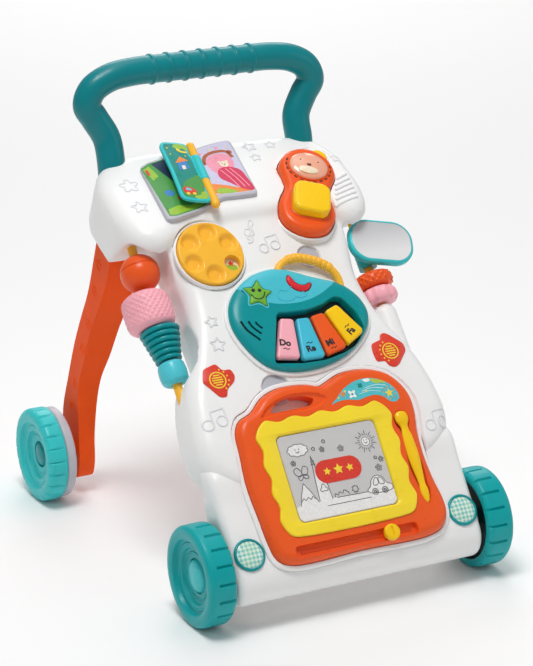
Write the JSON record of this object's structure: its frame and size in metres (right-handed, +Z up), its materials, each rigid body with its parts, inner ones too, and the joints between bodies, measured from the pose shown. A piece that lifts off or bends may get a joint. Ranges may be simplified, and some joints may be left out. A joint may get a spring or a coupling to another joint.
{
  "type": "baby walker",
  "caption": "Push-along baby walker with a grip bar, rolling wheels, lift-off drawing board and piano, bead rods, dial, play telephone, page book and swinging mirror.",
  "frame": {"origin": "middle of the footprint, on the floor", "axes": "+Z up, front of the walker towards -Y, +X to the right as seen from the front"},
  "size_m": [0.351, 0.4648, 0.485],
  "materials": {
    "white_abs": "smooth semi-gloss white moulding",
    "grey_plastic": "light grey moulding",
    "teal_plastic": "glossy teal moulding",
    "teal_tyre": "satin teal tread",
    "turquoise_tyre": "satin turquoise tread",
    "turquoise_plastic": "glossy turquoise moulding",
    "orange_plastic": "glossy orange moulding",
    "pink_plastic": "glossy pink moulding",
    "yellow_plastic": "glossy yellow moulding",
    "amber_plastic": "glossy amber moulding",
    "green_plastic": "glossy green moulding",
    "red_plastic": "glossy red moulding",
    "steel": "plain steel rod",
    "mirror_film": "silvered plastic sheet",
    "screen_film": "pale magnetic drawing film",
    "picture_card": "printed card",
    "dark_plastic": "dark grey",
    "circuit_green": "green laminate"
  },
  "bodies": {
    "chassis": {"front_shell": "white_abs", "base_shell": "white_abs", "back_cover": "white_abs", "board_tray": "white_abs", "handle": "teal_plastic", "left_leg": "orange_plastic", "right_leg": "orange_plastic", "front_axle": "steel", "left_rear_axle": "steel", "right_rear_axle": "steel", "left_rod": "amber_plastic", "right_rod": "amber_plastic", "rod_socket": "white_abs", "phone_base": "orange_plastic", "phone_dome": "pink_plastic", "book_tray": "grey_plastic", "lower_knuckle": "amber_plastic", "upper_knuckle": "amber_plastic", "page_pin": "steel", "picture_disc": "picture_card", "dial_rim": "white_abs"},
    "front_left_wheel": {"front_left_tyre": "teal_tyre", "front_left_cap": "turquoise_plastic"},
    "front_right_wheel": {"front_right_tyre": "teal_tyre", "front_right_cap": "turquoise_plastic"},
    "rear_left_wheel": {"rear_left_tyre": "turquoise_tyre", "rear_left_disc": "grey_plastic", "rear_left_cap": "teal_plastic"},
    "rear_right_wheel": {"rear_right_tyre": "turquoise_tyre", "rear_right_disc": "grey_plastic", "rear_right_cap": "teal_plastic"},
    "page": {"flip_page": "turquoise_plastic"},
    "dial": {"rotary_dial": "amber_plastic"},
    "phone_key": {"phone_button": "yellow_plastic"},
    "piano": {"piano_case": "teal_plastic", "piano_base": "white_abs", "battery_door": "grey_plastic", "speaker": "dark_plastic", "circuit_board": "circuit_green", "carry_handle": "amber_plastic"},
    "key_do_lever": {"key_do": "pink_plastic"},
    "key_re_lever": {"key_re": "turquoise_plastic"},
    "key_mi_lever": {"key_mi": "orange_plastic"},
    "key_fa_lever": {"key_fa": "yellow_plastic"},
    "star": {"star_button": "green_plastic"},
    "moon": {"moon_button": "red_plastic"},
    "board": {"board_case": "orange_plastic", "board_frame": "yellow_plastic", "drawing_screen": "screen_film", "board_back": "orange_plastic"},
    "eraser": {"eraser_knob": "yellow_plastic"},
    "pen": {"magic_pen": "yellow_plastic"},
    "ball": {"ball_bead": "orange_plastic"},
    "roller": {"textured_roller": "pink_plastic"},
    "cone": {"ribbed_cone": "teal_plastic"},
    "barrel": {"barrel_bead": "turquoise_plastic"},
    "spiky": {"spiky_ring": "orange_plastic"},
    "smooth": {"smooth_ring": "pink_plastic"},
    "mirror": {"mirror_frame": "turquoise_plastic", "mirror_plate": "mirror_film"}
  },
  "joints": [
    {"name": "front_left_wheel_spin", "type": "hinge", "parent": "chassis", "child": "front_left_wheel", "pos_m": [-0.15363, -0.17918, 0.05], "axis": [1, 0, 0], "continuous": true},
    {"name": "rear_left_wheel_spin", "type": "hinge", "parent": "chassis", "child": "rear_left_wheel", "pos_m": [-0.15953, 0.18242, 0.05], "axis": [1, 0, 0], "continuous": true},
    {"name": "front_right_wheel_spin", "type": "hinge", "parent": "chassis", "child": "front_right_wheel", "pos_m": [0.15357, -0.17918, 0.05], "axis": [1, 0, 0], "continuous": true},
    {"name": "rear_right_wheel_spin", "type": "hinge", "parent": "chassis", "child": "rear_right_wheel", "pos_m": [0.15947, 0.18242, 0.05], "axis": [1, 0, 0], "continuous": true},
    {"name": "page_turn", "type": "hinge", "parent": "chassis", "child": "page", "pos_m": [-0.03353, 0.05401, 0.37191], "axis": [0.1461, 0.9037, 0.4024], "range_deg": [0, 150]},
    {"name": "dial_turn", "type": "hinge", "parent": "chassis", "child": "dial", "pos_m": [-0.05953, -0.01386, 0.31013], "axis": [0, -0.7193, 0.6947], "continuous": true},
    {"name": "phone_button_press", "type": "slide", "parent": "chassis", "child": "phone_key", "axis": [0, 0.5592, -0.829], "range_m": [0, 0.003], "stiffness_N_per_m": 400, "springref_m": -0.001},
    {"name": "piano_lift", "type": "slide", "parent": "chassis", "child": "piano", "axis": [0, -0.7193, 0.6947], "range_m": [0, 0.06]},
    {"name": "key_do_press", "type": "hinge", "parent": "piano", "child": "key_do_lever", "pos_m": [-0.00842, -0.07411, 0.25279], "axis": [0.952, -0.2126, -0.2201], "range_deg": [0, 3.5], "stiffness_Nm_per_rad": 0.6, "springref_deg": -1.72},
    {"name": "key_re_press", "type": "hinge", "parent": "piano", "child": "key_re_lever", "pos_m": [0.00804, -0.07543, 0.25142], "axis": [0.9994, -0.0239, -0.0248], "range_deg": [0, 3.5], "stiffness_Nm_per_rad": 0.6, "springref_deg": -1.72},
    {"name": "key_mi_press", "type": "hinge", "parent": "piano", "child": "key_mi_lever", "pos_m": [0.02464, -0.07475, 0.25212], "axis": [0.9867, 0.1129, 0.1169], "range_deg": [0, 3.5], "stiffness_Nm_per_rad": 0.6, "springref_deg": -1.72},
    {"name": "key_fa_press", "type": "hinge", "parent": "piano", "child": "key_fa_lever", "pos_m": [0.04225, -0.07135, 0.25564], "axis": [0.9337, 0.2488, 0.2576], "range_deg": [0, 3.5], "stiffness_Nm_per_rad": 0.6, "springref_deg": -1.72},
    {"name": "star_press", "type": "slide", "parent": "piano", "child": "star", "axis": [0, 0.7193, -0.6947], "range_m": [0, 0.0025], "stiffness_N_per_m": 350, "springref_m": -0.001},
    {"name": "moon_press", "type": "slide", "parent": "piano", "child": "moon", "axis": [0, 0.7193, -0.6947], "range_m": [0, 0.0025], "stiffness_N_per_m": 350, "springref_m": -0.001},
    {"name": "board_lift", "type": "slide", "parent": "chassis", "child": "board", "axis": [0, -0.7965, 0.6046], "range_m": [0, 0.08]},
    {"name": "eraser_slide", "type": "slide", "parent": "board", "child": "eraser", "axis": [1, 0, 0], "range_m": [-0.097, 0.025]},
    {"name": "pen_lift", "type": "slide", "parent": "board", "child": "pen", "axis": [0, -0.7965, 0.6046], "range_m": [0, 0.04]},
    {"name": "ball_spin", "type": "hinge", "parent": "chassis", "child": "ball", "pos_m": [-0.12403, 0.01229, 0.29181], "axis": [0, 0.6672, 0.7449], "continuous": true},
    {"name": "roller_spin", "type": "hinge", "parent": "chassis", "child": "roller", "pos_m": [-0.12903, -0.0162, 0.26], "axis": [0, 0.6672, 0.7449], "continuous": true},
    {"name": "cone_spin", "type": "hinge", "parent": "chassis", "child": "cone", "pos_m": [-0.12403, -0.04088, 0.23244], "axis": [0, 0.6672, 0.7449], "continuous": true},
    {"name": "barrel_spin", "type": "hinge", "parent": "chassis", "child": "barrel", "pos_m": [-0.12403, -0.0609, 0.21009], "axis": [0, 0.6672, 0.7449], "continuous": true},
    {"name": "spiky_ring_spin", "type": "hinge", "parent": "chassis", "child": "spiky", "pos_m": [0.12397, -0.01987, 0.2559], "axis": [0, 0.6672, 0.7449], "continuous": true},
    {"name": "smooth_ring_spin", "type": "hinge", "parent": "chassis", "child": "smooth", "pos_m": [0.12397, -0.03154, 0.24287], "axis": [0, 0.6672, 0.7449], "continuous": true},
    {"name": "mirror_swing", "type": "hinge", "parent": "chassis", "child": "mirror", "pos_m": [0.12397, 0.00315, 0.2816], "axis": [0, 0.6672, 0.7449], "range_deg": [-20, 40]}
  ]
}
